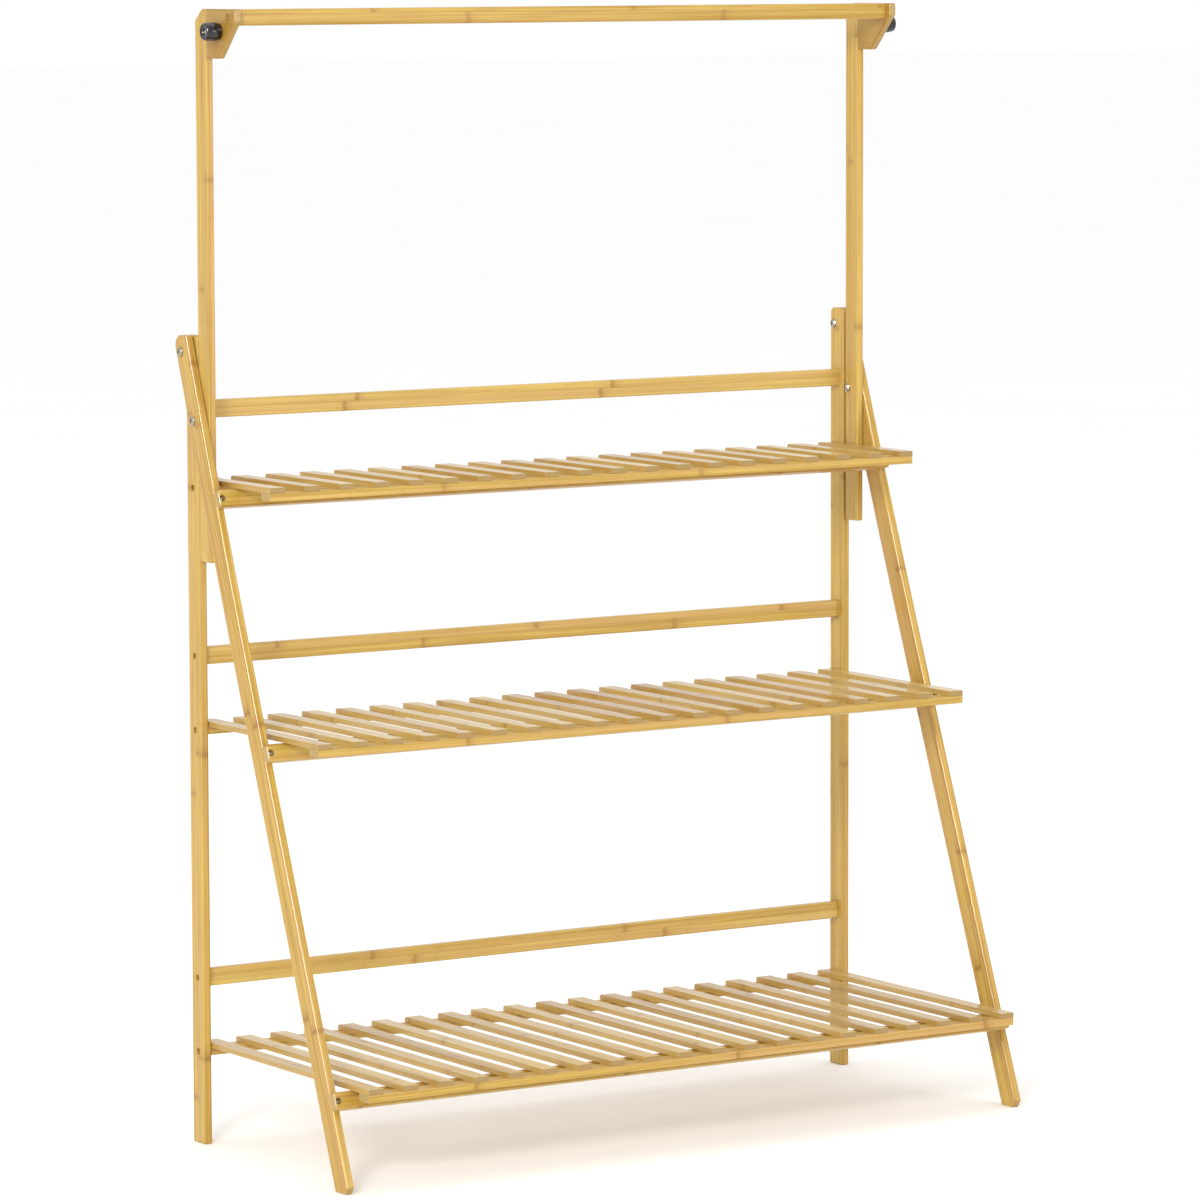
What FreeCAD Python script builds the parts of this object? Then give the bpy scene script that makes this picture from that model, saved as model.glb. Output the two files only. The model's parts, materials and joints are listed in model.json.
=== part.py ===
import FreeCAD, Part
import math
import os

V = FreeCAD.Vector

# Millimetres. X is the width, -Y is the front, +Z is up. The origin is on the floor,
# under the middle of the shelf. Every pair of left and right pieces is mirrored in X.

# ---- overall size
overall_width = 1000.0          # over the outer faces of the front legs
frame_height = 1005.0           # top of both pairs of legs
top_height = 1403.0             # top of the posts, brackets and hanging rod

# ---- side layers, from the outside in
front_leg_thickness = 10.4
pivot_gap = 0.9                 # between a front leg and a rear leg, filled by a washer
rear_leg_thickness = 10.9
post_gap = 0.3                  # between a front leg and a post
post_thickness = 10.1
shelf_side_gap = 0.6            # between a rear leg and the end of a shelf

# ---- rear frame
rear_y = 186.0                  # the rear legs' middle plane, and the shelves' pivot line
rear_leg_depth = 29.0
rear_leg_corner = 6.0
back_rail_depth = 12.0
back_rail_height = 22.0
back_rail_bottoms = {"upper": 902.7, "middle": 598.2, "lower": 196.8}

# ---- front frame
lean = 20.98                    # the front legs' angle from the vertical, degrees
front_leg_depth = 30.3
front_foot_reach = 383.85       # from rear_y to where a front leg's front face meets the floor
leg_bend_height = 800.0         # above this the front legs are drawn in a little by the bolts
leg_bend = 1.85                 # by this much less lean, degrees
leg_bend_radius = 12200.0
front_leg_top_corner = 13.0
foot_chamfer = 9.0
support_rail_thickness = 10.2
support_rail_height = 22.2
support_rail_end = 4.0          # radius of its four end corners
support_rail_standoff = {"top": 2.0, "middle": 0.0, "bottom": 0.0}  # over the legs' bend
shelf_rest_gap = 0.3            # between a support rail's upper front edge and the slats

# ---- shelves
strip_depth = 23.0
rear_strip_depth = 22.0
strip_height = 10.0
slat_thickness = 6.5
slat_width = 20.5
slat_count = 20
slat_overhang = 1.5             # past the rear strip
shelf_undersides = {"top": 822.0, "middle": 522.0, "bottom": 120.5}
shelf_depths = {"top": 171.0, "middle": 282.0, "bottom": 393.5}     # in front of the pivots

# ---- hanging frame
post_depth = 27.0
post_setback = 2.5              # clear gap between a post and the rear leg behind it
post_bottom = 727.5
post_chamfer_y = 17.0
post_chamfer_z = 14.0
bracket_reach = 71.0
bracket_height = 60.0
bracket_nose = 15.0             # height of the bracket's upright front edge
bracket_foot = 29.0             # length of its level lower edge
rod_size = 20.0
rod_setback = 8.0               # from the bracket's front edge to the rod
rod_edge = 4.0

# ---- pivots and hardware
pivot_offset = 6.6              # of the pivot bolts behind rear_y
pivot_z = 984.5
stay_offset = 22.6              # of the stay bolts in front of rear_y
stay_z = 901.5
bolt_radius = 3.0
bolt_head_radius = 6.0
bolt_head_height = 4.2
nut_head_radius = 5.6
sleeve_radius = 3.95
running_clearance = 0.06
fixed_clearance = 0.03
washer_radius = 7.5
washer_thickness = 0.6
screw_radius = 2.4
screw_head_height = 2.4
leg_screw_head = 3.4
leg_screw_sink = 3.2            # depth of the head's top below the wood
rail_screw_head = 3.4
rail_screw_sink = 2.2
rail_screw_length = 26.0
end_screw_length = 38.0
head_clearance = 0.8
dowel_radius = 3.0
dowel_length = 24.0
dowel_heights = (1355.0, 1391.0)

# ---- knobs
knob_radius = 11.4
knob_length = 20.8
knob_crown = 1.1                # how much thinner its two ends are than its middle
knob_foot_step = 0.8
knob_foot_height = 1.0
knob_dish = 0.9
knob_rim = 1.3
knob_flare = 1.4
knob_gap = 0.3
knob_offset = 76.5              # in front of rear_y
knob_z = 1376.0
knob_screw_head = 3.0
knob_screw_recess = 0.8         # below the knob's end
knob_screw_slack = 0.3
insert_radius = 4.5
insert_length = 9.0

# ---- worked out from the above
half_width = overall_width / 2
front_leg_inner = half_width - front_leg_thickness
rear_leg_outer = front_leg_inner - pivot_gap
rear_leg_inner = rear_leg_outer - rear_leg_thickness
post_outer = front_leg_inner - post_gap
post_inner = post_outer - post_thickness
shelf_half = rear_leg_inner - shelf_side_gap
front_foot_y = rear_y - front_foot_reach
pivot_y = rear_y + pivot_offset
stay_y = rear_y - stay_offset
knob_y = rear_y - knob_offset
post_back = rear_y - rear_leg_depth / 2 - post_setback
post_front = post_back - post_depth
lean_rad = math.radians(lean)
edge_round = 2.0
small_round = 1.2
sides = {"left": -1, "right": 1}


# ---- basic shapes

def block(x_range, y_range, z_range):
    size = [high - low for low, high in (x_range, y_range, z_range)]
    return Part.makeBox(*size, V(x_range[0], y_range[0], z_range[0]))


def across(side, inner, outer):
    """The X range between two distances from the middle, on one side."""
    return tuple(sorted((side * inner, side * outer)))


def rod_along(start, end, radius):
    path = V(*end) - V(*start)
    return Part.makeCylinder(radius, path.Length, V(*start), path)


def ease(solid, radius, picked=None):
    """Rounds the edges that picked() accepts, or all of them."""
    edges = [edge for edge in solid.Edges if picked is None or picked(edge)]
    return solid.makeFillet(radius, edges)


def runs_along(axis):
    """Accepts the straight edges that run along X, Y or Z."""
    def check(edge):
        start, end = (vertex.Point for vertex in edge.Vertexes[:2])
        run = end - start
        return run.Length > 1.0 and abs(abs(run[axis]) - run.Length) < 1e-6
    return check


def plate(corners, x_range):
    """A flat board between two X values. Each corner is (y, z, radius)."""
    points = [V(x_range[0], y, z) for y, z, _ in corners]
    edges = []
    ends = []
    for index, (y, z, radius) in enumerate(corners):
        here = points[index]
        back = (points[index - 1] - here).normalize()
        ahead = (points[(index + 1) % len(points)] - here).normalize()
        half = back.getAngle(ahead) / 2
        reach = radius / math.tan(half)
        start = here + back * reach
        end = here + ahead * reach
        middle = here + (back + ahead).normalize() * (radius / math.sin(half) - radius)
        ends.append((start, end))
        edges.append(Part.Arc(start, middle, end).toShape())
    outline = []
    for index, arc in enumerate(edges):
        outline.append(arc)
        leave = ends[index][1]
        arrive = ends[(index + 1) % len(ends)][0]
        if (arrive - leave).Length > 1e-6:
            outline.append(Part.LineSegment(leave, arrive).toShape())
    face = Part.Face(Part.Wire(outline))
    board = face.extrude(V(x_range[1] - x_range[0], 0, 0))
    rims = [edge for edge in board.Edges
            if abs(edge.BoundBox.XLength) < 1e-6]
    return board.makeFillet(edge_round, rims)


def lean_back(shape):
    """Moves a shape from the front legs' own frame, upright, to where it stands."""
    leaned = shape.copy()
    leaned.rotate(V(0, 0, 0), V(1, 0, 0), -lean)
    leaned.translate(V(0, front_foot_y, 0))
    return leaned


def save(name, *solids):
    shape = solids[0] if len(solids) == 1 else Part.makeCompound(list(solids))
    shape.exportStep(os.path.join("parts", name + ".step"))


# ---- fasteners: each is built along +Z with its head's seat at z = 0

def cross_recess(radius, depth, top):
    """The cross-shaped hole for a driver, cut down from the given height."""
    arm = radius * 0.62
    half = radius * 0.13
    one = block((-arm, arm), (-half, half), (top - depth, top + 1))
    two = block((-half, half), (-arm, arm), (top - depth, top + 1))
    return one.fuse(two)


def domed_head(radius, height):
    """A pan head: a short disc under a shallow dome, with a cross recess."""
    disc_height = height * 0.4
    rise = height - disc_height
    curve = (radius * radius + rise * rise) / (2 * rise)
    disc = Part.makeCylinder(radius, height)
    dome = Part.makeSphere(curve, V(0, 0, height - curve))
    head = disc.common(dome)
    return head.cut(cross_recess(radius, height * 0.6, height))


def screw(head_radius, shank_radius, length):
    """Head above z = 0, shank with a pointed tip below it."""
    tip = shank_radius * 2
    shank = Part.makeCylinder(shank_radius, length - tip, V(0, 0, 0), V(0, 0, -1))
    point = Part.makeCone(shank_radius, 0.3, tip, V(0, 0, tip - length), V(0, 0, -1))
    return domed_head(head_radius, screw_head_height).fuse([shank, point]).removeSplitter()


def bolt(head_radius, shank_radius, length):
    shank = Part.makeCylinder(shank_radius, length, V(0, 0, 0), V(0, 0, -1))
    return domed_head(head_radius, bolt_head_height).fuse(shank).removeSplitter()


def sleeve_nut(length):
    """A cap nut: a domed head on a round sleeve with a hole for the bolt."""
    sleeve = Part.makeCylinder(sleeve_radius, length, V(0, 0, 0), V(0, 0, -1))
    nut = domed_head(nut_head_radius, bolt_head_height).fuse(sleeve)
    hole = Part.makeCylinder(bolt_radius + running_clearance, length, V(0, 0, -length))
    return nut.cut(hole)


def point_out(shape, side, x, y, z):
    """Turns a fastener so that its head faces outwards in X and seats at x."""
    return face_x(shape, side, side * x, y, z)


def face_x(shape, direction, x, y, z):
    turned = shape.copy()
    turned.rotate(V(0, 0, 0), V(0, 1, 0), 90 * direction)
    turned.translate(V(x, y, z))
    return turned


def bore_x(solid, x_range, y, z, radius):
    return solid.cut(rod_along((x_range[0], y, z), (x_range[1], y, z), radius))


# ---- rear frame

def shelf_pivot(name):
    """Height of a shelf's pivot: the middle of its rear strip."""
    return shelf_undersides[name] - strip_height / 2


def back_rail_middle(name):
    return back_rail_bottoms[name] + back_rail_height / 2


def sink_depth():
    return screw_head_height + leg_screw_sink


def rear_leg(side):
    half = rear_leg_depth / 2
    corners = [(rear_y - half, 0.0, small_round), (rear_y + half, 0.0, small_round),
               (rear_y + half, frame_height, rear_leg_corner),
               (rear_y - half, frame_height, rear_leg_corner)]
    x_range = across(side, rear_leg_inner, rear_leg_outer)
    leg = plate([(y, z, max(radius, edge_round + 0.2)) for y, z, radius in corners], x_range)
    leg = bore_x(leg, x_range, pivot_y, pivot_z, sleeve_radius + fixed_clearance)
    sunk = across(side, rear_leg_outer - sink_depth(), rear_leg_outer)
    for name in shelf_undersides:
        z = shelf_pivot(name)
        leg = bore_x(leg, x_range, rear_y, z, screw_radius + running_clearance)
        leg = bore_x(leg, sunk, rear_y, z, leg_screw_head + head_clearance)
    for name in back_rail_bottoms:
        z = back_rail_middle(name)
        leg = bore_x(leg, x_range, rear_y, z, screw_radius + fixed_clearance)
        leg = bore_x(leg, sunk, rear_y, z, leg_screw_head + head_clearance)
    return leg


def end_screw(side, z):
    """A screw through a rear leg into the end of a rail or shelf strip."""
    seat = rear_leg_outer - sink_depth()
    return point_out(screw(leg_screw_head, screw_radius, end_screw_length), side, seat, rear_y, z)


def end_screw_holes(solid, z):
    """Blind holes in both ends of a crosspiece for its two end screws."""
    inner = rear_leg_outer - sink_depth() - end_screw_length - 1.0
    for side in sides.values():
        solid = bore_x(solid, across(side, inner, rear_leg_inner), rear_y, z,
                       screw_radius + fixed_clearance)
    return solid


def back_rail(name):
    bottom = back_rail_bottoms[name]
    half = back_rail_depth / 2
    rail = block((-rear_leg_inner, rear_leg_inner), (rear_y - half, rear_y + half),
                 (bottom, bottom + back_rail_height))
    rail = ease(rail, edge_round, runs_along(0))
    return end_screw_holes(rail, back_rail_middle(name))


def pivot_bolt(side):
    length = half_width - rear_leg_inner - 1.0
    return point_out(bolt(bolt_head_radius, bolt_radius, length), side, half_width,
                     pivot_y, pivot_z)


def pivot_nut(side):
    nut = sleeve_nut(rear_leg_thickness)
    return point_in(nut, side, rear_leg_inner, pivot_y, pivot_z)


def point_in(shape, side, x, y, z):
    """Turns a fastener so that its head faces the middle and seats at x."""
    return face_x(shape, -side, side * x, y, z)


def pivot_washer(side):
    x_range = across(side, rear_leg_outer + 0.05, rear_leg_outer + 0.05 + washer_thickness)
    ring = rod_along((x_range[0], pivot_y, pivot_z), (x_range[1], pivot_y, pivot_z),
                     washer_radius - 1.0)
    return bore_x(ring, x_range, pivot_y, pivot_z, bolt_radius + running_clearance)


# ---- front frame

def front_leg(side):
    slope = math.tan(lean_rad)
    upper_slope = math.tan(math.radians(lean - leg_bend))
    level_depth = front_leg_depth / math.cos(lean_rad)
    bend_y = front_foot_y + leg_bend_height * slope
    top_y = bend_y + (frame_height - leg_bend_height) * upper_slope
    tight = edge_round + 0.2
    corners = [(front_foot_y + foot_chamfer * slope, foot_chamfer, tight),
               (front_foot_y + foot_chamfer, 0.0, tight),
               (front_foot_y + level_depth, 0.0, tight),
               (bend_y + level_depth, leg_bend_height, leg_bend_radius),
               (top_y + level_depth, frame_height, front_leg_top_corner),
               (top_y, frame_height, tight),
               (bend_y, leg_bend_height, leg_bend_radius)]
    x_range = across(side, front_leg_inner, half_width)
    leg = plate(corners, x_range)
    leg = bore_x(leg, x_range, pivot_y, pivot_z, bolt_radius + running_clearance)
    leg = bore_x(leg, x_range, stay_y, stay_z, bolt_radius + fixed_clearance)
    for name in shelf_undersides:
        start, end = support_screw_line(name)
        hole = rod_along((0, start, end), (0, start + rail_screw_length, end),
                         screw_radius + fixed_clearance)
        hole = lean_back(hole)
        hole.translate(V(side * leg_middle(), 0, 0))
        leg = leg.cut(hole)
    return leg


def leg_middle():
    return half_width - front_leg_thickness / 2


def support_rail_top(name):
    """Distance up the front legs to a support rail's top, where its front edge
    comes just under the slats."""
    edge = shelf_undersides[name] - shelf_rest_gap
    reach = support_rail_thickness + support_rail_standoff[name]
    return (edge - reach * math.sin(lean_rad)) / math.cos(lean_rad)


def support_screw_line(name):
    """Depth and height, in the legs' own frame, of the seat of a rail's screw heads."""
    face = -support_rail_thickness - support_rail_standoff[name]
    seat = face + rail_screw_sink + screw_head_height
    return seat, support_rail_top(name) - support_rail_height / 2


def support_rail(name):
    top = support_rail_top(name)
    back = -support_rail_standoff[name]
    front = back - support_rail_thickness
    rail = block((-half_width, half_width), (front, back), (top - support_rail_height, top))
    rail = ease(rail, support_rail_end, runs_along(1))
    rail = ease(rail, edge_round, lambda edge: edge.BoundBox.YMax < front + 0.01)
    seat, height = support_screw_line(name)
    for side in sides.values():
        x = side * leg_middle()
        rail = rail.cut(rod_along((x, seat, height), (x, 1.0, height),
                                  screw_radius + fixed_clearance))
        rail = rail.cut(rod_along((x, front, height), (x, seat, height),
                                  rail_screw_head + head_clearance))
    return lean_back(rail)


def support_screw(name, side):
    piece = screw(rail_screw_head, screw_radius, rail_screw_length)
    piece.rotate(V(0, 0, 0), V(1, 0, 0), 90)
    seat, height = support_screw_line(name)
    piece.translate(V(side * leg_middle(), seat, height))
    return lean_back(piece)


def stay_bolt(side):
    piece = bolt(bolt_head_radius, bolt_radius, front_leg_thickness - 0.1)
    return point_out(piece, side, half_width, stay_y, stay_z)


# ---- shelves

def shelf_front(name):
    return rear_y - shelf_depths[name]


def rear_strip(name):
    top = shelf_undersides[name]
    half = rear_strip_depth / 2
    strip = block((-shelf_half, shelf_half), (rear_y - half, rear_y + half),
                  (top - strip_height, top))
    strip = ease(strip, small_round, runs_along(0))
    return end_screw_holes(strip, shelf_pivot(name))


def front_strip(name):
    top = shelf_undersides[name]
    front = shelf_front(name)
    strip = block((-shelf_half, shelf_half), (front, front + strip_depth),
                  (top - strip_height, top))
    return ease(strip, small_round, runs_along(0))


def slats(name):
    bottom = shelf_undersides[name]
    front = shelf_front(name)
    back = rear_y + rear_strip_depth / 2 + slat_overhang
    pitch = (2 * shelf_half - slat_width) / (slat_count - 1)
    made = []
    for index in range(slat_count):
        left = -shelf_half + index * pitch
        slat = block((left, left + slat_width), (front, back), (bottom, bottom + slat_thickness))
        slat = ease(slat, small_round, runs_along(1))
        made.append(round_back_end(slat, left, back, bottom))
    return made


def round_back_end(slat, left, back, bottom):
    """Rounds the upper edge of a slat's rear end with a quarter turn."""
    radius = 3.5
    top = bottom + slat_thickness
    corner = block((left - 1, left + slat_width + 1), (back - radius, back + 1),
                   (top - radius, top + 1))
    axis = ((left - 1, back - radius, top - radius),
            (left + slat_width + 1, back - radius, top - radius))
    return slat.cut(corner.cut(rod_along(*axis, radius)))


# ---- hanging frame

def post(side):
    tight = edge_round + 0.2
    corners = [(post_front, post_bottom, tight), (post_back, post_bottom, tight),
               (post_back, top_height - post_chamfer_z, tight),
               (post_back - post_chamfer_y, top_height, tight),
               (post_front, top_height, tight)]
    x_range = across(side, post_inner, post_outer)
    piece = plate(corners, x_range)
    return bore_x(dowel_holes(piece, side), x_range, stay_y, stay_z,
                  sleeve_radius + fixed_clearance)


def post_middle():
    return (post_inner + post_outer) / 2


def dowel(side, z, spare=0.0):
    half = dowel_length / 2 + spare
    x = side * post_middle()
    return rod_along((x, post_front - half, z), (x, post_front + half, z), dowel_radius + spare)


def dowel_holes(solid, side):
    for z in dowel_heights:
        solid = solid.cut(dowel(side, z, fixed_clearance))
    return solid


def bracket(side):
    front = post_front - bracket_reach
    bottom = top_height - bracket_height
    tight = edge_round + 0.2
    corners = [(front, top_height, 3.0), (front, top_height - bracket_nose, 4.0),
               (post_front - bracket_foot, bottom, 7.0), (post_front, bottom, tight),
               (post_front, top_height, tight)]
    x_range = across(side, post_inner, post_outer)
    piece = dowel_holes(plate(corners, x_range), side)
    rod_y, rod_z = rod_centre()
    piece = bore_x(piece, x_range, rod_y, rod_z, screw_radius + fixed_clearance)
    sunk = across(side, post_outer - sink_depth(), post_outer)
    piece = bore_x(piece, sunk, rod_y, rod_z, rail_screw_head + head_clearance)
    socket = across(side, post_outer - insert_length, post_outer)
    return bore_x(piece, socket, knob_y, knob_z, insert_radius + fixed_clearance)


def rod_centre():
    return (post_front - bracket_reach + rod_setback + rod_size / 2,
            top_height - rod_size / 2)


def hanging_rod():
    y, z = rod_centre()
    half = rod_size / 2
    rod = block((-post_inner, post_inner), (y - half, y + half), (z - half, z + half))
    rod = ease(rod, rod_edge, runs_along(0))
    inner = post_outer - sink_depth() - end_screw_length - 1.0
    for side in sides.values():
        rod = bore_x(rod, across(side, inner, post_inner), y, z, screw_radius + fixed_clearance)
    return rod


def rod_screw(side):
    y, z = rod_centre()
    seat = post_outer - sink_depth()
    return point_out(screw(rail_screw_head, screw_radius, end_screw_length), side, seat, y, z)


def stay_nut(side):
    return point_in(sleeve_nut(post_thickness), side, post_inner, stay_y, stay_z)


def knob_insert(side):
    inner = post_outer - insert_length
    ring = rod_along((side * inner, knob_y, knob_z), (side * post_outer, knob_y, knob_z),
                     insert_radius)
    return bore_x(ring, across(side, inner, post_outer), knob_y, knob_z,
                  screw_radius + running_clearance)


# ---- knobs

def knob(side):
    """A round handle turned in one profile, with a dished face and a screw seat."""
    radius = knob_radius
    length = knob_length
    dish = knob_dish
    rim = knob_rim
    seat = length - screw_head_height - knob_screw_recess
    bore = screw_radius + fixed_clearance
    head = knob_screw_head + knob_screw_slack
    flare = head + knob_flare
    end = radius - knob_crown
    points = [V(bore, 0, 0), V(end - knob_foot_step, 0, 0), V(end, 0, knob_foot_height)]
    edges = [Part.LineSegment(a, b).toShape() for a, b in zip(points, points[1:])]
    shoulder = V(end, 0, length - rim)
    middle = V(radius, 0, (knob_foot_height + length - rim) / 2)
    edges.append(Part.Arc(points[-1], middle, shoulder).toShape())
    quarter = math.sqrt(0.5)
    corner = V(end - rim, 0, length - rim)
    turn = Part.Arc(shoulder, corner + V(rim * quarter, 0, rim * quarter), corner + V(0, 0, rim))
    edges.append(turn.toShape())
    points = [corner + V(0, 0, rim), V(flare, 0, length - dish), V(head, 0, length - dish),
              V(head, 0, seat), V(bore, 0, seat), V(bore, 0, 0)]
    edges += [Part.LineSegment(a, b).toShape() for a, b in zip(points, points[1:])]
    face = Part.Face(Part.Wire(edges))
    body = face.revolve(V(0, 0, 0), V(0, 0, 1), 360)
    return point_out(body, side, post_outer + knob_gap, knob_y, knob_z)


def knob_screw(side):
    head_seat = knob_length - screw_head_height - knob_screw_recess
    length = head_seat + knob_gap + insert_length - 1.0
    piece = bolt_like_screw(length)
    return point_out(piece, side, post_outer + knob_gap + head_seat, knob_y, knob_z)


def bolt_like_screw(length):
    shank = Part.makeCylinder(screw_radius, length, V(0, 0, 0), V(0, 0, -1))
    return domed_head(knob_screw_head, screw_head_height).fuse(shank).removeSplitter()


# ---- the whole shelf

def save_pair(name, make):
    for word, side in sides.items():
        save(name + "_" + word, make(side))


def save_group(name, make):
    save(name, *[make(side) for side in sides.values()])


def build_rear_frame():
    save_pair("rear_leg", rear_leg)
    for name in back_rail_bottoms:
        save(name + "_back_rail", back_rail(name))
    save("back_rail_screws", *[end_screw(side, back_rail_middle(name))
                               for name in back_rail_bottoms for side in sides.values()])
    save_group("pivot_bolts", pivot_bolt)
    save_group("pivot_nuts", pivot_nut)
    save_group("pivot_washers", pivot_washer)


def build_front_frame():
    save_pair("front_leg", front_leg)
    words = {"top": "upper", "middle": "middle", "bottom": "lower"}
    for name, word in words.items():
        save(word + "_support_rail", support_rail(name))
    save("support_rail_screws", *[support_screw(name, side)
                                  for name in shelf_undersides for side in sides.values()])
    save_group("stay_bolts", stay_bolt)


def build_shelf(name):
    save(name + "_shelf_rear_strip", rear_strip(name))
    save(name + "_shelf_front_strip", front_strip(name))
    save(name + "_shelf_slats", *slats(name))
    save(name + "_shelf_pivot_screws",
         *[end_screw(side, shelf_pivot(name)) for side in sides.values()])


def build_hanging_frame():
    save_pair("post", post)
    save_pair("bracket", bracket)
    save("bracket_dowels", *[dowel(side, z) for side in sides.values() for z in dowel_heights])
    save("hanging_rod", hanging_rod())
    save_group("rod_screws", rod_screw)
    save_group("stay_nuts", stay_nut)
    save_group("knob_inserts", knob_insert)


def build_knobs():
    save_pair("knob", knob)
    save_pair("knob_screw", knob_screw)


os.makedirs("parts", exist_ok=True)
build_rear_frame()
build_front_frame()
for shelf in shelf_undersides:
    build_shelf(shelf)
build_hanging_frame()
build_knobs()
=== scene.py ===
import json
import math
import random

import bmesh
import bpy
from mathutils import Matrix, Vector

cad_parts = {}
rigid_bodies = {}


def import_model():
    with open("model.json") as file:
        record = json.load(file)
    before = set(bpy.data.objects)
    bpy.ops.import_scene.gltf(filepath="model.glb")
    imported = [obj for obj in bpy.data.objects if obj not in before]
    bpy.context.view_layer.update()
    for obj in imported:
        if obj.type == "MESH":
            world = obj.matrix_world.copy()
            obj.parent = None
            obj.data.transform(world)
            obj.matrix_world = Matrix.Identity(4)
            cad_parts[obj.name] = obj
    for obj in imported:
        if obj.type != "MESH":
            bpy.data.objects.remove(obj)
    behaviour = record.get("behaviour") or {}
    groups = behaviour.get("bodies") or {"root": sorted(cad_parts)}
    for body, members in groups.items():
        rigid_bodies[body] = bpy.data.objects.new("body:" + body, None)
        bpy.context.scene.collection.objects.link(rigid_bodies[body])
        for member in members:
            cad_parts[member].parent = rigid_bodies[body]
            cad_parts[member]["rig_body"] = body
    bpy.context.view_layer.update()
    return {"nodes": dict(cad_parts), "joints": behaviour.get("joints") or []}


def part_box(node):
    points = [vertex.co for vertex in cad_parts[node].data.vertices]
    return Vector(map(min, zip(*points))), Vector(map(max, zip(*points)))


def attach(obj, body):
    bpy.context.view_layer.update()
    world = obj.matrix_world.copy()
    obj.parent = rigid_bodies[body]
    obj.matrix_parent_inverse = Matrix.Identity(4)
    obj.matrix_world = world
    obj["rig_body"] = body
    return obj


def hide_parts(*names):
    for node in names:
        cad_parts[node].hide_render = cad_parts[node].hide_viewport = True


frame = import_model()
random.seed(11)
joints = {joint["name"]: joint for joint in frame["joints"]}
sides = ("left", "right")
shelves = ("top", "middle", "bottom")
print("frame loaded:", len(frame["nodes"]), "nodes")


# camera and light

cameraSet = {
    "place": (-4.1188, -6.3380, 1.4810),
    "turn": 32.931,       # degrees from straight ahead towards the right
    "tip": 6.159,         # degrees down
    "roll": -0.156,
    "lens": 182.63,
    "sensor": 36.0,
    "farthest": 500.0,
}

lightSet = {
    "world": 1.0,
    "key": {"place": (-5.2, -4.6, 3.6), "size": 1.8, "power": 240.0,
            "colour": (1.0, 0.985, 0.96)},
    "fill": {"place": (3.0, -6.2, 2.0), "size": 3.0, "power": 70.0,
             "colour": (0.96, 0.98, 1.0)},
    "glint": {"place": (-5.3, -2.9, 3.2), "size": 3.0, "power": 1300.0,   # highlights only
              "colour": (1.0, 0.97, 0.94)},
    "top": {"place": (0.2, 0.4, 4.6), "size": 3.6, "power": 22.0,
            "colour": (1.0, 1.0, 1.0)},
    "aim": (0.0, 0.0, 0.7),
}


def makeCamera():
    data = bpy.data.cameras.new("camera")
    data.lens = cameraSet["lens"]
    data.sensor_width = cameraSet["sensor"]
    data.clip_end = cameraSet["farthest"]
    camera = bpy.data.objects.new("camera", data)
    turn = Matrix.Rotation(-math.radians(cameraSet["turn"]), 4, "Z")
    tip = Matrix.Rotation(math.radians(90.0 - cameraSet["tip"]), 4, "X")
    roll = Matrix.Rotation(math.radians(cameraSet["roll"]), 4, "Z")
    camera.matrix_world = Matrix.Translation(cameraSet["place"]) @ turn @ tip @ roll
    bpy.context.scene.collection.objects.link(camera)
    bpy.context.scene.camera = camera


def makeLight(name):
    wanted = lightSet[name]
    data = bpy.data.lights.new(name + "Light", "AREA")
    data.shape = "DISK"
    data.size = wanted["size"]
    data.energy = wanted["power"]
    data.color = wanted["colour"]
    light = bpy.data.objects.new(name + "Light", data)
    light.location = wanted["place"]
    aim = Vector(lightSet["aim"]) - Vector(wanted["place"])
    light.rotation_euler = aim.to_track_quat("-Z", "Y").to_euler()
    light.visible_diffuse = name != "glint"
    bpy.context.scene.collection.objects.link(light)


def makeWorld():
    world = bpy.data.worlds.new("studio")
    world.use_nodes = True
    background = world.node_tree.nodes["Background"]
    background.inputs["Color"].default_value = (1.0, 1.0, 1.0, 1.0)
    background.inputs["Strength"].default_value = lightSet["world"]
    bpy.context.scene.world = world
    bpy.context.scene.view_settings.view_transform = "Standard"


# node helpers

usualNoise = (0.3, 0.7)     # where most of a noise's values lie


def newMaterial(name):
    material = bpy.data.materials.new(name)
    material.use_nodes = True
    tree = material.node_tree
    return material, tree, tree.nodes["Principled BSDF"]


def addNode(tree, kind, **values):
    made = tree.nodes.new(kind)
    for key, value in values.items():
        setattr(made, key, value)
    return made


def mathNode(tree, operation, first, second=None):
    made = addNode(tree, "ShaderNodeMath", operation=operation)
    for socket, value in zip(made.inputs, (first, second)):
        if value is None:
            continue
        if isinstance(value, (int, float)):
            socket.default_value = value
        else:
            tree.links.new(value, socket)
    return made.outputs[0]


def noiseNode(tree, vector, scale, detail=2.0, rough=0.5, warp=0.0):
    made = addNode(tree, "ShaderNodeTexNoise")
    tree.links.new(vector, made.inputs["Vector"])
    made.inputs["Scale"].default_value = scale
    made.inputs["Detail"].default_value = detail
    made.inputs["Roughness"].default_value = rough
    made.inputs["Distortion"].default_value = warp
    return made.outputs["Fac"]


def scaledVector(tree, vector, scale):
    made = addNode(tree, "ShaderNodeVectorMath", operation="MULTIPLY")
    tree.links.new(vector, made.inputs[0])
    made.inputs[1].default_value = scale
    return made.outputs[0]


def mixColour(tree, amount, first, second):
    made = addNode(tree, "ShaderNodeMix", data_type="RGBA")
    sockets = (made.inputs[0], made.inputs[6], made.inputs[7])
    for socket, value in zip(sockets, (amount, first, second)):
        if isinstance(value, (int, float)):
            socket.default_value = value
        elif isinstance(value, tuple):
            socket.default_value = (*value, 1.0)
        else:
            tree.links.new(value, socket)
    return made.outputs[2]


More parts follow.
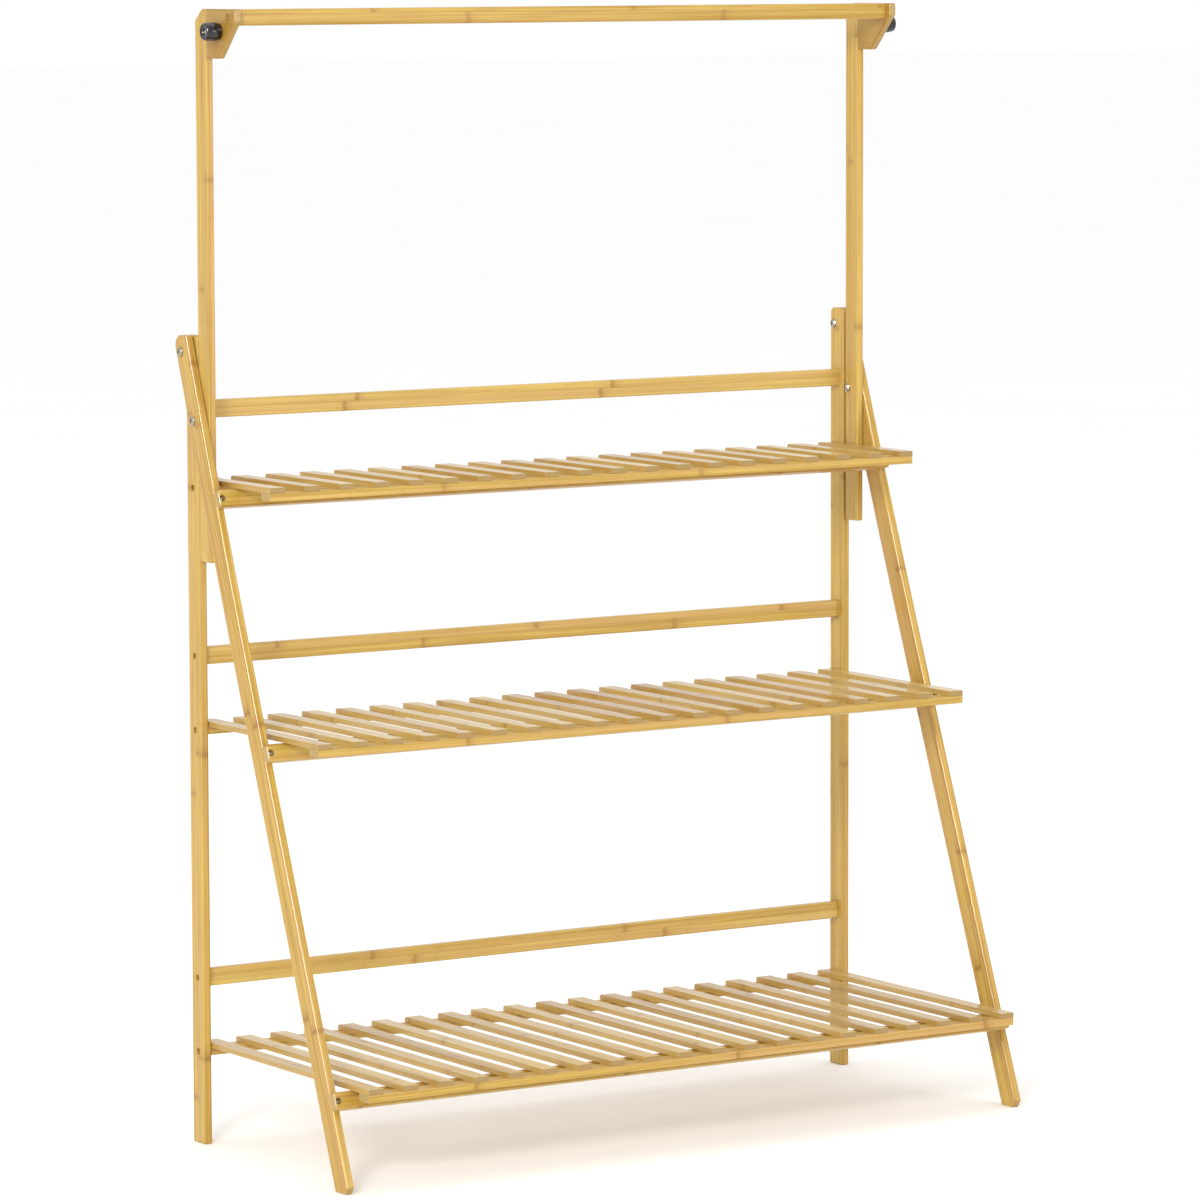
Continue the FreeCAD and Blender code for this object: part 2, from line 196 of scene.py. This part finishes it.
def spread(tree, value, low, high, toLow=0.0, toHigh=1.0):
    made = addNode(tree, "ShaderNodeMapRange", clamp=True)
    tree.links.new(value, made.inputs["Value"])
    made.inputs["From Min"].default_value = low
    made.inputs["From Max"].default_value = high
    made.inputs["To Min"].default_value = toLow
    made.inputs["To Max"].default_value = toHigh
    return made.outputs["Result"]


def bumpNode(tree, shader, height, strength, distance, below=None):
    made = addNode(tree, "ShaderNodeBump")
    made.inputs["Strength"].default_value = strength
    made.inputs["Distance"].default_value = distance
    tree.links.new(height, made.inputs["Height"])
    if below is not None:
        tree.links.new(below, made.inputs["Normal"])
    tree.links.new(made.outputs["Normal"], shader.inputs["Normal"])
    return made.outputs["Normal"]


# bamboo: every board carries "lath" (along, across and through the board, in metres),
# "seed" (one number for each board), "tone" (-1 dark to 1 pale), "endGrain" (1 on sawn ends)
# and "flank" (1 on its narrow sides, which get painted shade)

bambooSet = {
    "honey": (0.430, 0.248, 0.026),
    "straw": (0.610, 0.412, 0.070),
    "amber": (0.300, 0.145, 0.010),
    "rose": (0.520, 0.285, 0.105),
    "knot": (0.245, 0.100, 0.010),
    "pale": (0.640, 0.480, 0.165),
    "cut": (0.400, 0.270, 0.095),
    "flank": 0.0,         # painted shade: how much darker the narrow sides are painted
    "stripWidth": 0.0145,
    "knotSpacing": 0.38,
    "rough": 0.36,
    "coat": 0.30,
    "coatRough": 0.12,
    "shine": 0.20,        # of the wood under the lacquer
    "grain": 0.00009,     # depth of the fibres in metres
}

# the slats' narrow sides get painted shade (flank)
slatSet = dict(bambooSet, stripWidth=0.0104, knotSpacing=0.36,
               honey=(0.440, 0.275, 0.060), straw=(0.640, 0.465, 0.165),
               cut=(0.230, 0.130, 0.040), flank=0.42, rough=0.34, coat=0.42, shine=0.25,
               grain=0.00003)


grainSet = {              # noise along a board, across it, its detail and its roughness
    "fibres": (7.0, 620.0, 5.0, 0.66),
    "streaks": (2.2, 300.0, 3.0, 0.55),
    "clouds": (5.0, 26.0, 2.0, 0.5),
    "pores": (55.0, 1900.0, 1.0, 0.5),
    "blush": (1.4, 320.0, 1.0, 0.5),
    "wobble": (6.0, 240.0, 2.0, 0.5),
}

tintSet = {               # where a tint starts, where it is full, and how strong it is there
    "streaks": (0.42, 0.58, 1.0),
    "fibres": (0.46, 0.66, 0.85),
    "clouds": (0.45, 0.75, 0.30),
    "paleStrips": (0.60, 1.0, 0.45),
    "darkStrips": (0.40, 0.0, 0.42),
    "blush": (0.50, 0.62, 0.60),
    "paleBoard": (0.0, 1.0, 1.0),
    "darkBoard": (0.0, -1.0, 1.0),
    "seams": (0.462, 0.5, 0.30),
    "pores": (0.66, 0.80, 0.35),
    # paler sharp edges: partly wear of the lacquer, partly a painted highlight
    "edgeWearAndHighlight": (0.52, 0.60, 0.22),
}

knotSet = {
    "wobble": 0.006,            # how far a joint of the cane wanders along the board
    "line": (0.0008, 0.0046),   # half width of the dark line, full and faded
    "stain": 0.022,
    "stainFall": 1.8,
    "ahead": (-0.01, 0.01),     # the stain is fuller on one side of the line
    "behind": 0.35,
    "lineTint": 0.62,
    "stainTint": 0.42,
}

surfaceSet = {
    "streakWarp": 0.3,
    "seedToStrip": 0.731,
    "smoother": 0.06,           # fibres change the roughness by this much
    "rougher": 0.10,
    "endRough": 0.22,
    "grainBump": 0.30,
    "ridgeBump": 0.35,
    "ridge": 0.00012,
    "seamGroove": (0.47, 0.5),
    "cutDots": 900.0,
    "cutSpread": (0.18, 0.42, 0.45, 1.0),
}


def readBoard(tree):
    found = {}
    for name, output in (("lath", "Vector"), ("seed", "Fac"), ("endGrain", "Fac"),
                         ("tone", "Fac"), ("flank", "Fac")):
        node = addNode(tree, "ShaderNodeAttribute", attribute_name=name)
        found[name] = node.outputs[output]
    return found


def grainNoise(tree, lath, name, warp=0.0):
    along, across, detail, rough = grainSet[name]
    stretched = scaledVector(tree, lath, (along, across, across))
    return noiseNode(tree, stretched, 1.0, detail, rough, warp)


def tinted(tree, colour, value, name, tint):
    start, full, most = tintSet[name]
    return mixColour(tree, spread(tree, value, start, full, 0.0, most), colour, tint)


# a random number for each glued strip, and how near a seam is
def stripHash(tree, lath, seed, width):
    parts = addNode(tree, "ShaderNodeSeparateXYZ")
    tree.links.new(lath, parts.inputs[0])
    across = mathNode(tree, "DIVIDE", parts.outputs[1], width)
    slide = mathNode(tree, "MULTIPLY", seed, surfaceSet["seedToStrip"])
    across = mathNode(tree, "ADD", across, slide)
    strip = mathNode(tree, "FLOOR", across)
    inside = mathNode(tree, "FRACT", across)
    seam = mathNode(tree, "ABSOLUTE", mathNode(tree, "SUBTRACT", inside, 0.5))
    joined = addNode(tree, "ShaderNodeCombineXYZ")
    tree.links.new(strip, joined.inputs[0])
    tree.links.new(seed, joined.inputs[1])
    white = addNode(tree, "ShaderNodeTexWhiteNoise", noise_dimensions="3D")
    tree.links.new(joined.outputs[0], white.inputs["Vector"])
    return white.outputs["Value"], seam, parts.outputs[0]


# the dark line and the soft stain at each joint of the cane
def knotMarks(tree, along, lath, pick, spacing):
    wobble = mathNode(tree, "MULTIPLY", grainNoise(tree, lath, "wobble"), knotSet["wobble"])
    shifted = mathNode(tree, "ADD", along, wobble)
    phase = mathNode(tree, "ADD", mathNode(tree, "DIVIDE", shifted, spacing), pick)
    centred = mathNode(tree, "SUBTRACT", mathNode(tree, "FRACT", phase), 0.5)
    distance = mathNode(tree, "MULTIPLY", mathNode(tree, "ABSOLUTE", centred), spacing)
    line = spread(tree, distance, *knotSet["line"], 1.0, 0.0)
    stain = spread(tree, distance, 0.0, knotSet["stain"], 1.0, 0.0)
    stain = mathNode(tree, "POWER", stain, knotSet["stainFall"])
    ahead = spread(tree, centred, *knotSet["ahead"], knotSet["behind"], 1.0)
    return line, mathNode(tree, "MULTIPLY", stain, ahead)


# sawn ends show the cane's fibres as dots
def cutColour(tree, lath, chosen):
    dots = addNode(tree, "ShaderNodeTexVoronoi")
    tree.links.new(lath, dots.inputs["Vector"])
    dots.inputs["Scale"].default_value = surfaceSet["cutDots"]
    amount = spread(tree, dots.outputs["Distance"], *surfaceSet["cutSpread"])
    return mixColour(tree, amount, chosen["knot"], chosen["cut"])


def makeBamboo(name, chosen):
    material, tree, shader = newMaterial(name)
    board = readBoard(tree)
    lath, ends = board["lath"], board["endGrain"]
    pick, seam, along = stripHash(tree, lath, board["seed"], chosen["stripWidth"])
    line, stain = knotMarks(tree, along, lath, pick, chosen["knotSpacing"])
    fibres = grainNoise(tree, lath, "fibres")
    streaks = grainNoise(tree, lath, "streaks", surfaceSet["streakWarp"])

    colour = tinted(tree, chosen["honey"], streaks, "streaks", chosen["straw"])
    colour = tinted(tree, colour, fibres, "fibres", chosen["amber"])
    colour = tinted(tree, colour, grainNoise(tree, lath, "clouds"), "clouds", chosen["amber"])
    colour = tinted(tree, colour, pick, "paleStrips", chosen["pale"])
    colour = tinted(tree, colour, pick, "darkStrips", chosen["amber"])
    colour = tinted(tree, colour, grainNoise(tree, lath, "blush"), "blush", chosen["rose"])
    colour = tinted(tree, colour, board["tone"], "paleBoard", chosen["pale"])
    colour = tinted(tree, colour, board["tone"], "darkBoard", chosen["amber"])
    # painted shade: the narrow sides are darkened as if turned away from the light
    if chosen["flank"]:
        side = mathNode(tree, "MULTIPLY", board["flank"], chosen["flank"])
        colour = mixColour(tree, side, colour, chosen["amber"])
    for mark, tint in ((stain, knotSet["stainTint"]), (line, knotSet["lineTint"])):
        colour = mixColour(tree, mathNode(tree, "MULTIPLY", mark, tint), colour, chosen["knot"])
    colour = tinted(tree, colour, seam, "seams", chosen["knot"])
    colour = tinted(tree, colour, grainNoise(tree, lath, "pores"), "pores", chosen["knot"])
    colour = mixColour(tree, ends, colour, cutColour(tree, lath, chosen))
    # paler sharp edges: partly wear of the lacquer, partly a painted highlight
    edgeWearAndHighlightMask = addNode(tree, "ShaderNodeNewGeometry").outputs["Pointiness"]
    colour = tinted(tree, colour, edgeWearAndHighlightMask, "edgeWearAndHighlight", chosen["pale"])
    tree.links.new(colour, shader.inputs["Base Color"])

    rough = spread(tree, fibres, *usualNoise, chosen["rough"] - surfaceSet["smoother"],
                   chosen["rough"] + surfaceSet["rougher"])
    endRough = mathNode(tree, "MULTIPLY", ends, surfaceSet["endRough"])
    rough = mathNode(tree, "ADD", rough, endRough)
    tree.links.new(rough, shader.inputs["Roughness"])
    shader.inputs["Coat Weight"].default_value = chosen["coat"]
    shader.inputs["Coat Roughness"].default_value = chosen["coatRough"]
    shader.inputs["Specular IOR Level"].default_value = chosen["shine"]

    grain = bumpNode(tree, shader, fibres, surfaceSet["grainBump"], chosen["grain"])
    ridge = mathNode(tree, "SUBTRACT", stain, spread(tree, seam, *surfaceSet["seamGroove"]))
    bumpNode(tree, shader, ridge, surfaceSet["ridgeBump"], surfaceSet["ridge"], grain)
    return material


# metal, plastic and nylon

steelSet = {"colour": (0.46, 0.41, 0.33), "dull": (0.16, 0.13, 0.09), "rough": 0.16,
            "specks": 420.0, "metal": 1.0, "coat": 0.0, "bump": 0.0001}
plasticSet = {"colour": (0.004, 0.004, 0.006), "dull": (0.012, 0.012, 0.015), "rough": 0.05,
              "specks": 260.0, "metal": 0.0, "coat": 0.15, "bump": 0.00003}
nylonSet = {"colour": (0.74, 0.72, 0.66), "dull": (0.55, 0.53, 0.47), "rough": 0.5,
            "specks": 300.0, "metal": 0.0, "coat": 0.0, "bump": 0.0001}
brassSet = {"colour": (0.72, 0.52, 0.22), "dull": (0.42, 0.28, 0.10), "rough": 0.3,
            "specks": 350.0, "metal": 1.0, "coat": 0.0, "bump": 0.0001}
dowelSet = {"colour": (0.62, 0.43, 0.24), "dull": (0.45, 0.28, 0.13), "rough": 0.6,
            "specks": 500.0, "metal": 0.0, "coat": 0.0, "bump": 0.0001}

speckSet = {
    "finer": 9.0,                      # the small specks against the large ones
    "spread": (0.42, 0.78, 0.0, 0.8),  # how the dull colour comes in
    "smoothest": 0.75,
    "roughest": 1.4,
    "coatRough": 0.08,
    "bump": 0.25,
}


# a finish whose colour, roughness and surface vary a little over the piece
def makeSpeckled(name, chosen):
    material, tree, shader = newMaterial(name)
    place = addNode(tree, "ShaderNodeTexCoord").outputs["Object"]
    coarse = noiseNode(tree, place, chosen["specks"], 3.0, 0.6)
    fine = noiseNode(tree, place, chosen["specks"] * speckSet["finer"])
    amount = spread(tree, coarse, *speckSet["spread"])
    colour = mixColour(tree, amount, chosen["colour"], chosen["dull"])
    tree.links.new(colour, shader.inputs["Base Color"])
    rough = spread(tree, fine, *usualNoise, chosen["rough"] * speckSet["smoothest"],
                   chosen["rough"] * speckSet["roughest"])
    tree.links.new(rough, shader.inputs["Roughness"])
    shader.inputs["Metallic"].default_value = chosen["metal"]
    shader.inputs["Coat Weight"].default_value = chosen["coat"]
    shader.inputs["Coat Roughness"].default_value = speckSet["coatRough"]
    bumpNode(tree, shader, fine, speckSet["bump"], chosen["bump"])
    return material


floorSet = {
    "size": 120.0,
    "mottle": 1.4,
    "palest": 0.985,
    "darkest": 0.975,
    "rough": 0.9,
    "shine": 0.1,
}


def makeFloorPaint():
    material, tree, shader = newMaterial("floorPaper")
    place = addNode(tree, "ShaderNodeTexCoord").outputs["Object"]
    mottle = noiseNode(tree, place, floorSet["mottle"], 3.0)
    tone = spread(tree, mottle, *usualNoise, floorSet["darkest"], floorSet["palest"])
    joined = addNode(tree, "ShaderNodeCombineColor")
    for socket in joined.inputs:
        tree.links.new(tone, socket)
    tree.links.new(joined.outputs[0], shader.inputs["Base Color"])
    shader.inputs["Roughness"].default_value = floorSet["rough"]
    shader.inputs["Specular IOR Level"].default_value = floorSet["shine"]
    return material


def makeFloor(material):
    shape = bmesh.new()
    bmesh.ops.create_grid(shape, x_segments=4, y_segments=4, size=floorSet["size"] / 2)
    mesh = bpy.data.meshes.new("floor")
    shape.to_mesh(mesh)
    shape.free()
    floor = bpy.data.objects.new("floor", mesh)
    bpy.context.scene.collection.objects.link(floor)
    mesh.materials.append(material)


# boards

boardSet = {
    "legSlope": 20.98,      # degrees from upright, of the front legs
    "segments": 4,          # of each rounded edge
    "endRadius": 0.0006,    # of the broken edges of a sawn end
    "endSegments": 2,
    "sharpAngle": 34.0,     # degrees between faces that stay crisp
    "weld": 0.00001,
    "seedShift": (3.17, 0.0, 0.41),
    "straight": 0.999,      # how nearly an edge has to run along a board
    "corner": 1.0,          # radians between faces that meet at a corner
    "facing": (0.5, 3.0),   # where a face starts to count as an end or a flank, and how fast
}
close = 1e-6                # closer than this is the same place

roundSet = {"rail": 0.0020, "rod": 0.0040, "strip": 0.0012}

toneSet = {                 # -1 dark to 1 pale
    "rearLeg": 0.08,
    "frontLeg": 0.05,
    "post": 0.05,
    "bracket": -0.85,
    "backRail": 0.12,
    "supportRail": -0.10,
    "rod": -0.18,
    "frontStrip": 0.10,
    "rearStrip": -0.05,
}


def facingShare(part):      # 1 where a face looks along the direction, 0 where it looks away
    start, gain = boardSet["facing"]
    return min(max((abs(part) - start) * gain, 0.0), 1.0)


# writes each board's own directions, its number and its sawn ends into the mesh
def markBoard(shape, toGrain, seed, tone):
    lath = shape.verts.layers.float_vector.new("lath")
    number = shape.verts.layers.float.new("seed")
    shade = shape.verts.layers.float.new("tone")
    ends = shape.faces.layers.float.new("endGrain")
    flank = shape.faces.layers.float.new("flank")
    shift = Vector(boardSet["seedShift"]) * seed
    for vertex in shape.verts:
        vertex[lath] = toGrain @ vertex.co + shift
        vertex[number] = seed
        vertex[shade] = tone
    turn = toGrain.to_3x3()
    shape.normal_update()
    for face in shape.faces:
        facing = turn @ face.normal
        face[ends] = facingShare(facing.x)
        # marks the narrow sides that get the painted shade
        face[flank] = facingShare(facing.y)


def crispEdges(shape):
    limit = math.radians(boardSet["sharpAngle"])
    for face in shape.faces:
        face.smooth = True
    for edge in shape.edges:
        if len(edge.link_faces) == 2:
            edge.smooth = edge.calc_face_angle(0.0) < limit


def finishPiece(name, shape, material, body, nodes):
    mesh = bpy.data.meshes.new(name)
    shape.to_mesh(mesh)
    shape.free()
    piece = bpy.data.objects.new(name, mesh)
    bpy.context.scene.collection.objects.link(piece)
    mesh.materials.append(material)
    even = piece.modifiers.new("evenShading", "WEIGHTED_NORMAL")
    even.keep_sharp = True
    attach(piece, body)
    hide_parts(*nodes)


def bodyOf(node):
    return frame["nodes"][node]["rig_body"]


# reads a point as along, across and through a board
def grainAxes(along, across):
    along = Vector(along).normalized()
    across = Vector(across).normalized()
    through = along.cross(across)
    return Matrix((along, across, through)).to_4x4()


upright = grainAxes((0, 0, 1), (0, 1, 0))
crosswise = grainAxes((1, 0, 0), (0, 0, 1))
flatwise = grainAxes((1, 0, 0), (0, 1, 0))
forward = grainAxes((0, 1, 0), (1, 0, 0))
reach = grainAxes((0, 1, 0), (0, 0, 1))
slope = math.radians(boardSet["legSlope"])
alongLeg = (0, math.sin(slope), math.cos(slope))
leaning = grainAxes(alongLeg, (0, math.cos(slope), -math.sin(slope)))
leaningRail = grainAxes((1, 0, 0), alongLeg)


# a board with bores and shaped ends, taken from its solid and given its grain
def copyBoard(node, toGrain, material, tone):
    shape = bmesh.new()
    shape.from_mesh(frame["nodes"][node].data)
    bmesh.ops.remove_doubles(shape, verts=shape.verts, dist=boardSet["weld"])
    markBoard(shape, toGrain, random.uniform(1, 60), tone)
    crispEdges(shape)
    finishPiece(pieceName(node), shape, material, bodyOf(node), [node])


def pieceName(node):
    words = node.split("_")
    return words[0] + "".join(word.capitalize() for word in words[1:])


def roundEdges(shape, edges, radius, segments):
    bmesh.ops.bevel(shape, geom=edges, offset=radius, offset_type="OFFSET", segments=segments,
                    profile=0.5, affect="EDGES", material=-1, clamp_overlap=True)


def lengthwise(shape, axis):    # the edges that run along x, y or z
    found = []
    for edge in shape.edges:
        run = edge.verts[1].co - edge.verts[0].co
        if abs(run[axis]) > boardSet["straight"] * run.length:
            found.append(edge)
    return found


def blankBoard(low, high):
    shape = bmesh.new()
    bmesh.ops.create_cube(shape, size=1.0)
    size = high - low
    bmesh.ops.scale(shape, vec=size, verts=shape.verts)
    bmesh.ops.translate(shape, vec=(low + high) / 2, verts=shape.verts)
    return shape


# a straight board: long edges rounded over, sawn ends just broken
def planedBoard(node, axis, radius, toGrain, material, tone):
    low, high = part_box(node)
    shape = blankBoard(low, high)
    roundEdges(shape, lengthwise(shape, axis), radius, boardSet["segments"])
    ends = [edge for edge in shape.edges
            if abs(edge.verts[0].co[axis] - edge.verts[1].co[axis]) < close
            and len(edge.link_faces) == 2 and edge.calc_face_angle(0.0) > boardSet["corner"]]
    roundEdges(shape, ends, boardSet["endRadius"], boardSet["endSegments"])
    markBoard(shape, toGrain, random.uniform(1, 60), tone)
    crispEdges(shape)
    finishPiece(pieceName(node), shape, material, bodyOf(node), [node])


# slats

slatShape = {
    "count": 20,
    "width": 0.0205,
    "edge": 0.0013,
    "edgeSegments": 3,
    "frontRound": 0.0005,
    "frontSegments": 2,
    "backRound": 0.0034,
    "backSegments": 6,
    "unevenness": 0.0002,   # how far a slat may sit off its place
    "tones": (-0.45, 0.55),
}


def oneSlat(low, high):
    shape = blankBoard(low, high)
    back = [edge for edge in shape.edges
            if min(edge.verts[0].co.y, edge.verts[1].co.y) > high.y - close
            and min(edge.verts[0].co.z, edge.verts[1].co.z) > high.z - close]
    roundEdges(shape, back, slatShape["backRound"], slatShape["backSegments"])
    roundEdges(shape, lengthwise(shape, 1), slatShape["edge"], slatShape["edgeSegments"])
    front = [edge for edge in shape.edges
             if max(edge.verts[0].co.y, edge.verts[1].co.y) < low.y + close]
    roundEdges(shape, front, slatShape["frontRound"], slatShape["frontSegments"])
    tone = random.uniform(*slatShape["tones"])
    markBoard(shape, forward, random.uniform(1.0, 60.0), tone)
    return shape


def makeSlats(shelf, material):
    node = shelf + "_shelf_slats"
    low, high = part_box(node)
    width = slatShape["width"]
    pitch = (high.x - low.x - width) / (slatShape["count"] - 1)
    whole = bmesh.new()
    holder = bpy.data.meshes.new("slatHolder")
    for index in range(slatShape["count"]):
        frontSlip = random.uniform(0.0, slatShape["unevenness"])
        backSlip = random.uniform(0.0, slatShape["unevenness"])
        left = low.x + index * pitch
        near = Vector((left, low.y + frontSlip, low.z))
        far = Vector((left + width, high.y - backSlip, high.z))
        slat = oneSlat(near, far)
        slat.to_mesh(holder)
        slat.free()
        whole.from_mesh(holder)
    bpy.data.meshes.remove(holder)
    crispEdges(whole)
    finishPiece(pieceName(node), whole, material, bodyOf(node), [node])


# fasteners and knobs

turningShanks = {       # screws and bolts that turn in wood, and the joints that turn them
    "top_shelf_pivot_screws": "top_shelf_tilt",
    "middle_shelf_pivot_screws": "middle_shelf_tilt",
    "bottom_shelf_pivot_screws": "bottom_shelf_tilt",
    "pivot_bolts": "frame_fold",
}
shankEase = {"core": 0.0015, "reach": 0.0032, "ease": 0.00020, "lift": 0.00010}


# leaves a turning shank a little slack in its faceted hole
def easeShank(shape, joint):
    centre = Vector(joints[joint]["pos_m"])
    for vertex in shape.verts:
        arm = Vector((0.0, vertex.co.y - centre.y, vertex.co.z - centre.z))
        if shankEase["core"] < arm.length < shankEase["reach"]:
            vertex.co -= arm.normalized() * shankEase["ease"]
        elif arm.length > shankEase["reach"]:       # the head stands just clear of the wood
            vertex.co.x += math.copysign(shankEase["lift"], vertex.co.x)


def copyHardware(node, material):
    shape = bmesh.new()
    shape.from_mesh(frame["nodes"][node].data)
    bmesh.ops.remove_doubles(shape, verts=shape.verts, dist=boardSet["weld"])
    if node in turningShanks:
        easeShank(shape, turningShanks[node])
    crispEdges(shape)
    finishPiece(pieceName(node), shape, material, bodyOf(node), [node])


knobShape = {
    "neck": (0.00078, 0.00018, 0.0003, 0.00096),    # step at the root: in, in, up, up
    "bore": 0.0024,
    "crown": 0.0011,        # how much thinner its ends are than its middle
    "crownSteps": 12,
    "rim": 0.0013,          # round of the outer edge
    "dish": 0.0009,         # hollow of the face
    "dishEdge": (0.00646, 0.000675),    # radius and depth where the hollow starts
    "seatBreak": 0.0005,    # chamfer round the screw's seat
    "seat": 0.0034,         # radius of the screw's seat
    "seatDepth": 0.0032,
    "steps": 96,
    "rimSteps": 10,
}


# radius and height of each point of the turned outline, from the root to the bore
def knobProfile(radius, length):
    wanted = knobShape
    end = radius - wanted["crown"]
    inmost, inner, step, foot = wanted["neck"]
    points = [(wanted["bore"], 0.0), (end - inmost, 0.0), (end - inner, step)]
    span = length - wanted["rim"] - foot
    for index in range(wanted["crownSteps"] + 1):
        share = index / wanted["crownSteps"]
        points.append((end + wanted["crown"] * 4 * share * (1 - share), foot + span * share))
    for index in range(1, wanted["rimSteps"] + 1):
        angle = math.pi / 2 * index / wanted["rimSteps"]
        points.append((end - wanted["rim"] * (1 - math.cos(angle)),
                       length - wanted["rim"] * (1 - math.sin(angle))))
    edgeRadius, edgeDepth = wanted["dishEdge"]
    points.append((edgeRadius, length - edgeDepth))
    points.append((wanted["seat"] + wanted["seatBreak"], length - wanted["dish"]))
    points.append((wanted["seat"], length - wanted["dish"] - wanted["seatBreak"]))
    points.append((wanted["seat"], length - wanted["seatDepth"]))
    points.append((wanted["bore"], length - wanted["seatDepth"]))
    return points


def makeKnob(side, material):
    node = "knob_" + side
    low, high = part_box(node)
    outward = -1.0 if side == "left" else 1.0
    radius = (high.z - low.z) / 2
    length = high.x - low.x
    shape = bmesh.new()
    corners = [shape.verts.new((r, 0.0, h)) for r, h in knobProfile(radius, length)]
    rim = [shape.edges.new(pair) for pair in zip(corners, corners[1:])]
    rim.append(shape.edges.new((corners[-1], corners[0])))
    bmesh.ops.spin(shape, geom=corners + rim, cent=(0, 0, 0), axis=(0, 0, 1), dvec=(0, 0, 0),
                   angle=math.tau, steps=knobShape["steps"], use_merge=True, use_duplicate=False)
    bmesh.ops.remove_doubles(shape, verts=shape.verts, dist=boardSet["weld"])
    bmesh.ops.recalc_face_normals(shape, faces=shape.faces)
    root = high.x if side == "left" else low.x
    turn = Matrix.Rotation(math.pi / 2 * outward, 4, "Y")
    place = Matrix.Translation((root, (low.y + high.y) / 2, (low.z + high.z) / 2))
    bmesh.ops.transform(shape, matrix=place @ turn, verts=shape.verts)
    crispEdges(shape)
    finishPiece(pieceName(node), shape, material, bodyOf(node), [node])


# the whole shelf

makeCamera()
for name in ("key", "fill", "glint", "top"):
    makeLight(name)
makeWorld()
makeFloor(makeFloorPaint())
print("studio ready")

bamboo = makeBamboo("bamboo", bambooSet)
slatBamboo = makeBamboo("slatBamboo", slatSet)
steel = makeSpeckled("zincSteel", steelSet)
blackPlastic = makeSpeckled("blackPlastic", plasticSet)
nylon = makeSpeckled("nylon", nylonSet)
brass = makeSpeckled("brass", brassSet)
dowelWood = makeSpeckled("dowelWood", dowelSet)

for side in sides:
    copyBoard("rear_leg_" + side, upright, bamboo, toneSet["rearLeg"])
    copyBoard("front_leg_" + side, leaning, bamboo, toneSet["frontLeg"])
    copyBoard("post_" + side, upright, bamboo, toneSet["post"])
    copyBoard("bracket_" + side, reach, bamboo, toneSet["bracket"])
for level in ("upper", "middle", "lower"):
    planedBoard(level + "_back_rail", 0, roundSet["rail"], crosswise, bamboo,
                toneSet["backRail"])
    copyBoard(level + "_support_rail", leaningRail, bamboo, toneSet["supportRail"])
planedBoard("hanging_rod", 0, roundSet["rod"], crosswise, bamboo, toneSet["rod"])
print("frame boards ready")

for shelf in shelves:
    planedBoard(shelf + "_shelf_front_strip", 0, roundSet["strip"], flatwise, bamboo,
                toneSet["frontStrip"])
    planedBoard(shelf + "_shelf_rear_strip", 0, roundSet["strip"], flatwise, bamboo,
                toneSet["rearStrip"])
    makeSlats(shelf, slatBamboo)
print("shelves ready")

hardware = ["back_rail_screws", "pivot_bolts", "pivot_nuts", "support_rail_screws", "stay_bolts",
            "rod_screws", "stay_nuts", "knob_screw_left", "knob_screw_right"]
hardware += [shelf + "_shelf_pivot_screws" for shelf in shelves]
for node in hardware:
    copyHardware(node, steel)
copyHardware("pivot_washers", nylon)
copyHardware("knob_inserts", brass)
copyHardware("bracket_dowels", dowelWood)
for side in sides:
    makeKnob(side, blackPlastic)
print("fasteners and knobs ready")
